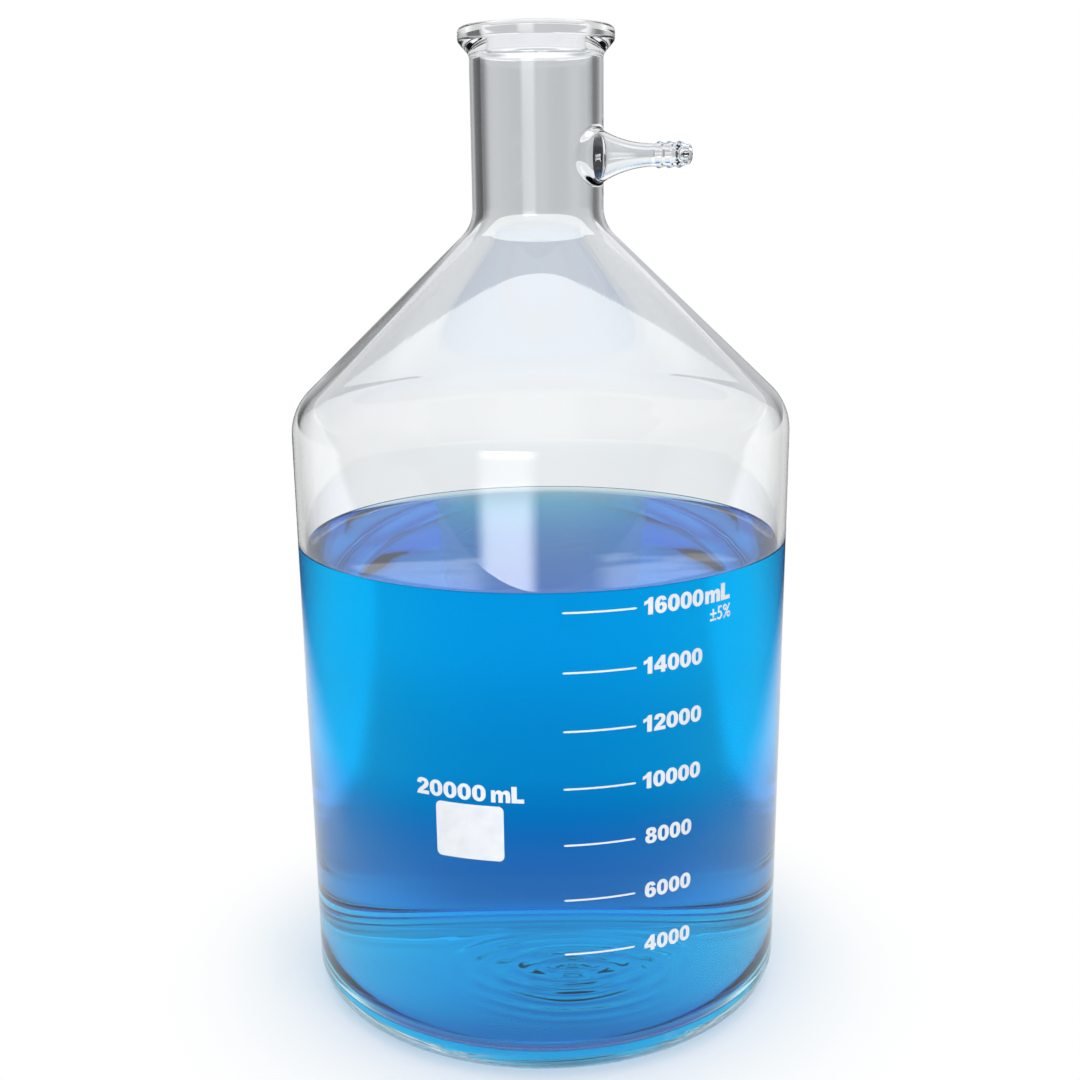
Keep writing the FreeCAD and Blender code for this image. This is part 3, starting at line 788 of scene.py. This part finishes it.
def blue_water():
    """Water with copper-blue dye: red is gone within a few centimetres."""
    material, nodes, links, shader = new_material("blue_water")
    shader.inputs["Base Color"].default_value = (1, 1, 1, 1)
    shader.inputs["Transmission Weight"].default_value = 1
    shader.inputs["IOR"].default_value = 1.333
    shader.inputs["Specular Tint"].default_value = (0.0, 0.0, 0.0, 1)
    shader.inputs["Roughness"].default_value = 0.0
    ripples = object_noise(nodes, links, 16, (1, 1.6, 0.2), 1)
    links.new(bump(nodes, links, ripples, 0.3, 0.0008), shader.inputs["Normal"])
    lets_lamps_through(nodes, links, shader, (0.97, 0.97, 0.97))
    absorb(nodes, links, (0.0, 0.912, 0.9864), 42.0)
    return material


def white_enamel():
    """Fired screen print: white, satin, with a fine grain and a few thin places."""
    material, nodes, links, shader = new_material("white_enamel")
    grain = object_noise(nodes, links, 900, (1, 1, 1), 3, 0.6)
    patches = object_noise(nodes, links, 120, (1, 1, 1), 2)
    ramp = nodes.new("ShaderNodeValToRGB")
    ramp.color_ramp.elements[0].position, ramp.color_ramp.elements[1].position = 0.3, 0.62
    ramp.color_ramp.elements[0].color = (0.80, 0.84, 0.89, 1)
    ramp.color_ramp.elements[1].color = (0.87, 0.90, 0.94, 1)
    links.new(patches, ramp.inputs[0])
    links.new(ramp.outputs[0], shader.inputs["Base Color"])
    links.new(spread(nodes, links, grain, 0.38, 0.52), shader.inputs["Roughness"])
    links.new(bump(nodes, links, grain, 0.25, 0.00005), shader.inputs["Normal"])
    return material


def light_kinds(nodes, links):
    """1 for camera rays, for rays through glass and for mirrored rays; glass counts as both
    glossy and transmission, so a mirrored ray is a glossy one that isn't transmitted."""
    path = nodes.new("ShaderNodeLightPath").outputs
    through = path["Is Transmission Ray"]
    mirrored = calculate(nodes, links, "MULTIPLY", path["Is Glossy Ray"],
                         calculate(nodes, links, "SUBTRACT", 1.0, through))
    return path["Is Camera Ray"], through, mirrored


def fill_ramp(node, stops):
    """Gives a colour ramp its stops, as places and colours."""
    while len(node.color_ramp.elements) < len(stops):
        node.color_ramp.elements.new(0.5)
    for element, (place, colour) in zip(node.color_ramp.elements, stops):
        element.position, element.color = place, (*colour, 1)


def paper_through_glass(nodes, links, x, y, away):
    """Colour and level of the paper behind glass, by place and distance from the axis.

    The light that the flask would gather on the paper under it is painted here as a pool of light, and
    its shadow behind it as painted shade.
    """
    outside = calculate(
        nodes, links, "MAXIMUM",
        calculate(nodes, links, "MULTIPLY", remap(nodes, links, away, 0.10, 0.15, 0.0, 1.0),
                  remap(nodes, links, y, -0.10, 0.0, 0.0, 1.0)),
        remap(nodes, links, away, 0.145, 0.17, 0.0, 1.0))
    place = blend_numbers(nodes, links, outside, y, away)
    # to the sides the paper lies out of the painted shadow
    aside = calculate(nodes, links, "DIVIDE", x, calculate(nodes, links, "MAXIMUM", 0.1, away))
    shift = calculate(nodes, links, "MULTIPLY", outside,
                      remap(nodes, links, aside, 0.45, 0.85, 0.0, 0.2))
    place = calculate(nodes, links, "ADD", place, shift)
    lit = nodes.new("ShaderNodeValToRGB")
    fill_ramp(lit, [((at + PAPER_START) / PAPER_REACH, colour) for at, colour in PAINTED_LEVELS_BEHIND_GLASS])
    links.new(calculate(nodes, links, "DIVIDE",
                        calculate(nodes, links, "ADD", place, PAPER_START), PAPER_REACH),
              lit.inputs[0])
    # the middle of the painted shadow, which widens away from the flask
    half_width = calculate(nodes, links, "MAXIMUM", 0.045,
                           calculate(nodes, links, "MULTIPLY_ADD", y, 0.29, -0.052))
    side = calculate(nodes, links, "SUBTRACT", x, half_width)
    depth = calculate(nodes, links, "MULTIPLY", remap(nodes, links, y, 0.11, 0.17, 0.0, 1.0),
                      remap(nodes, links, y, 0.35, 0.75, 0.45, 0.20))
    wedge = calculate(nodes, links, "MULTIPLY",
                      remap(nodes, links, side, -0.02, 0.02, 1.0, 0.0), depth)
    # far off to the sides a painted shade makes the paper darker
    painted_side_shade = calculate(nodes, links, "MULTIPLY", remap(nodes, links, aside, 0.35, 0.8, 0.0, 0.45),
                     remap(nodes, links, away, 0.5, 1.0, 0.0, 1.0))
    shade = calculate(nodes, links, "ADD", wedge, painted_side_shade)
    return lit.outputs[0], calculate(nodes, links, "SUBTRACT", PAINTED_GLOW, shade)


def paper_mirrored(nodes, links, y, away):
    """Painted level of the paper as a mirror image: a table's width, and past its edge a painted dark
    that stands in for a dark room.
    """
    stretch = calculate(nodes, links, "MULTIPLY",
                        calculate(nodes, links, "MAXIMUM", y, 0.0), 0.6)
    reach = calculate(nodes, links, "SUBTRACT", away, stretch)
    table = remap(nodes, links, reach, 0.32, 0.52, 1.0, 0.05)
    return calculate(nodes, links, "MULTIPLY", table, FAR_LEVEL)


def paper_floor():
    """A pale sweep: matt near the flask, and as bright as the background further out; through glass and
    as a mirror image it shows painted light and shade.
    """
    material, nodes, links, shader = new_material("paper_floor")
    shader.inputs["Roughness"].default_value = 0.9
    shader.inputs["Base Color"].default_value = (0.96, 0.96, 0.96, 1)
    where = nodes.new("ShaderNodeTexCoord").outputs["Object"]
    length = nodes.new("ShaderNodeVectorMath")
    length.operation = "LENGTH"
    links.new(where, length.inputs[0])
    away = length.outputs["Value"]
    split = nodes.new("ShaderNodeSeparateXYZ")
    links.new(where, split.inputs[0])
    x, y = calculate(nodes, links, "ABSOLUTE", split.outputs[0]), split.outputs[1]
    camera, through, mirrored = light_kinds(nodes, links)
    # painted light and shade: the paper's colour and level through glass and as a mirror image
    lit, passed = paper_through_glass(nodes, links, x, y, away)
    level = blend_numbers(nodes, links, through, 0.5, passed)
    level = blend_numbers(nodes, links, mirrored, level, paper_mirrored(nodes, links, y, away))
    level = blend_numbers(nodes, links, camera, level, 1.0)
    colour = nodes.new("ShaderNodeMix")
    colour.data_type = "RGBA"
    links.new(through, colour.inputs["Factor"])
    colour.inputs[6].default_value = (1, 1, 1, 1)
    links.new(lit, colour.inputs[7])
    glow = nodes.new("ShaderNodeEmission")
    links.new(level, glow.inputs["Strength"])
    links.new(colour.outputs[2], glow.inputs["Color"])
    far = remap(nodes, links, away, 0.10, 0.26, 0.0, 1.0)
    mix = nodes.new("ShaderNodeMixShader")
    links.new(calculate(nodes, links, "MAXIMUM", far, through), mix.inputs[0])
    links.new(shader.outputs[0], mix.inputs[1])
    links.new(glow.outputs[0], mix.inputs[2])
    links.new(mix.outputs[0], nodes["Material Output"].inputs["Surface"])
    return material


# the studio

def make_floor():
    """A wide sheet that ends in front of the flask, behind the place of the camera."""
    work = bmesh.new()
    bmesh.ops.create_circle(work, cap_ends=True, segments=96, radius=SWEEP_RADIUS)
    bmesh.ops.bisect_plane(work, geom=list(work.verts) + list(work.edges) + list(work.faces),
                           plane_co=(0, SWEEP_FRONT, 0), plane_no=(0, -1, 0), clear_outer=True)
    mesh = bpy.data.meshes.new("sweep")
    work.to_mesh(mesh)
    work.free()
    floor = put_in_scene("sweep", mesh)
    floor.data.materials.append(paper_floor())


def pale_patches(nodes, links, x, z):
    """Two pale patches, which the water's surface mirrors near its front edge."""
    beside = remap(nodes, links, calculate(nodes, links, "ABSOLUTE", x), 0.035, 0.06, 0.0, 0.8)
    above = calculate(nodes, links, "SUBTRACT", z, PATCH_HEIGHT)
    level_with = remap(nodes, links, calculate(nodes, links, "ABSOLUTE", above),
                       0.008, 0.022, 1.0, 0.0)
    return calculate(nodes, links, "MULTIPLY", beside, level_with)


def screen_behind(nodes, links, room, x, z):
    """The screen behind the flask, which the floor of a full flask mirrors."""
    screen = nodes.new("ShaderNodeValToRGB")
    fill_ramp(screen, [(height, (tone, tone, tone)) for height, tone in SCREEN_LEVELS])
    links.new(z, screen.inputs[0])
    # low down it has no dark corners
    evenness = calculate(nodes, links, "MAXIMUM",
                         calculate(nodes, links, "MULTIPLY", room, 1 / ROOM_LEVEL),
                         remap(nodes, links, z, 0.10, 0.30, 0.0, 1.0))
    patches = pale_patches(nodes, links, x, z)
    return calculate(nodes, links, "MULTIPLY", evenness,
                     calculate(nodes, links, "ADD", patches, screen.outputs[0]))


def make_world():
    """White behind the flask; glass sees a pale room, darker in its four corners."""
    world = bpy.data.worlds.new("studio")
    bpy.context.scene.world = world
    world.use_nodes = True
    nodes, links = world.node_tree.nodes, world.node_tree.links
    where = nodes.new("ShaderNodeTexCoord")
    split = nodes.new("ShaderNodeSeparateXYZ")
    links.new(where.outputs["Generated"], split.inputs[0])
    x, y, z = split.outputs
    corner = calculate(nodes, links, "ABSOLUTE", calculate(nodes, links, "MULTIPLY", x, y))
    corner = calculate(nodes, links, "ADD", corner, calculate(nodes, links, "MULTIPLY", x, -0.09))
    room = remap(nodes, links, corner, 0.24, 0.48, ROOM_LEVEL, ROOM_CORNERS)
    sky = remap(nodes, links, z, 0.45, 1.0, 0.0, SKY_GLOW)
    seen = blend_numbers(nodes, links, remap(nodes, links, y, 0.0, 0.4, 0.0, 1.0),
                         calculate(nodes, links, "ADD", room, sky),
                         screen_behind(nodes, links, room, x, z))
    dim = calculate(nodes, links, "MULTIPLY", room,
                    remap(nodes, links, y, -0.2, 0.6, MIRRORED_ROOM, 0.8))
    camera, through, mirrored = light_kinds(nodes, links)
    level = blend_numbers(nodes, links, through, AMBIENT, seen)
    level = blend_numbers(nodes, links, mirrored, level, calculate(nodes, links, "ADD", dim, sky))
    level = blend_numbers(nodes, links, camera, level, 1.0)
    links.new(level, nodes["Background"].inputs["Strength"])
    tint = nodes.new("ShaderNodeMix")
    tint.data_type = "RGBA"
    links.new(camera, tint.inputs["Factor"])
    tint.inputs[6].default_value = (0.96, 0.97, 1.0, 1)
    tint.inputs[7].default_value = (1, 1, 1, 1)
    links.new(tint.outputs[2], nodes["Background"].inputs["Color"])


def facing_flask(azimuth, elevation, distance):
    """Place and turn of something that faces the flask; azimuth is from the front, in degrees."""
    a, e = math.radians(azimuth), math.radians(elevation)
    out = Vector((math.sin(a) * math.cos(e), -math.cos(a) * math.cos(e), math.sin(e)))
    return Vector(FLASK_MIDDLE) + out * distance, out.to_track_quat("Z", "Y").to_euler()


def soft_box(name, place, size, radiance):
    """A rectangular lamp that faces the flask and isn't seen itself."""
    lamp = bpy.data.lights.new(name, "AREA")
    lamp.shape = "RECTANGLE"
    lamp.size, lamp.size_y = size
    lamp.energy = radiance * 4 * size[0] * size[1]
    holder = put_in_scene(name, lamp)
    holder.location, holder.rotation_euler = facing_flask(*place)
    holder.visible_camera = holder.visible_glossy = holder.visible_transmission = False


def strip_card():
    """A tall bright card with soft edges, brighter at its foot and its head."""
    material = bpy.data.materials.new("bright_card")
    material.use_nodes = True
    nodes, links = material.node_tree.nodes, material.node_tree.links
    nodes.remove(nodes["Principled BSDF"])
    split = nodes.new("ShaderNodeSeparateXYZ")
    links.new(nodes.new("ShaderNodeTexCoord").outputs["Object"], split.inputs[0])
    across = calculate(nodes, links, "ABSOLUTE", split.outputs[0])
    edge = remap(nodes, links, across, 0.22 * CARD_WIDTH, 0.5 * CARD_WIDTH, 1.0, 0.0)
    foot = remap(nodes, links, split.outputs[1], *CARD_FOOT, *CARD_LEVELS)
    head = remap(nodes, links, split.outputs[1], *CARD_HEAD, *HEAD_LEVELS)
    level = calculate(nodes, links, "ADD", foot, head)
    glow = nodes.new("ShaderNodeEmission")
    links.new(calculate(nodes, links, "MULTIPLY", edge, level), glow.inputs["Strength"])
    links.new(glow.outputs[0], nodes["Material Output"].inputs["Surface"])
    mesh = bpy.data.meshes.new("bright_card")
    corners = [(x * CARD_WIDTH, y * CARD_HEIGHT, 0) for x, y in ((-1, -1), (1, -1), (1, 1), (-1, 1))]
    mesh.from_pydata([Vector(corner) / 2 for corner in corners], [], [(0, 1, 2, 3)])
    mesh.materials.append(material)
    card = put_in_scene("bright_card", mesh)
    card.location, card.rotation_euler = facing_flask(*KEY_PLACE)
    card.visible_camera = card.visible_diffuse = False
    card.visible_transmission = card.visible_shadow = False


def make_lamps():
    """Three soft boxes that only light, and the card that only shows as a mirror image."""
    soft_box("left_soft_box", KEY_PLACE, *KEY_LAMP)
    soft_box("right_fill", FILL_PLACE, *FILL_LAMP)
    soft_box("overhead_panel", PANEL_PLACE, *PANEL_LAMP)
    strip_card()


def make_camera():
    """The camera that was fitted to the photo."""
    camera = bpy.data.cameras.new("photo_view")
    camera.lens, camera.sensor_width = CAMERA_LENS, SENSOR_WIDTH
    camera.shift_x, camera.shift_y = CAMERA_SHIFT
    holder = put_in_scene("photo_view", camera)
    right = Vector((1, 0, 0))
    up = Vector((0, math.sin(CAMERA_PITCH), math.cos(CAMERA_PITCH)))
    back = Vector((0, -math.cos(CAMERA_PITCH), math.sin(CAMERA_PITCH)))
    turned_right = math.cos(CAMERA_ROLL) * right + math.sin(CAMERA_ROLL) * up
    turned_up = -math.sin(CAMERA_ROLL) * right + math.cos(CAMERA_ROLL) * up
    turn = Matrix((turned_right, turned_up, back)).transposed()
    holder.matrix_world = Matrix.Translation(CAMERA_PLACE) @ turn.to_4x4()
    bpy.context.scene.camera = holder


# the scene

def dress(piece, material, slot, *nodes):
    """Gives a piece its material, hangs it under the root body and hides the nodes that it replaces.
    slot is not used.
    """
    if not piece.data.materials:
        piece.data.materials.append(material)
    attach(piece, "root")
    if nodes:
        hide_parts(*nodes)


def main():
    make_camera()
    water, enamel = blue_water(), white_enamel()
    flask = flask_mesh()
    flask.data.materials.append(clear_glass("borosilicate_glass", 1.0))
    flask.data.materials.append(clear_glass("wetted_glass", 0.0))
    wet_the_inside(flask.data)
    dress(flask, None, "clear_glass", "flask")
    dress(liquid_mesh(), water, "blue_water", "blue_liquid")
    for piece in print_on_glass(enamel):
        dress(piece, enamel, "white_enamel")
    for node_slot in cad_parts["marking_panel"].material_slots:
        node_slot.material = enamel
    make_floor()
    make_world()
    make_lamps()
    # light crosses glass and water many times before it leaves a full flask
    bpy.context.scene.cycles.max_bounces = 24
    bpy.context.scene.cycles.transmission_bounces = 24
    bpy.context.scene.cycles.glossy_bounces = 12
    bpy.context.scene.view_settings.view_transform = "Standard"


main()
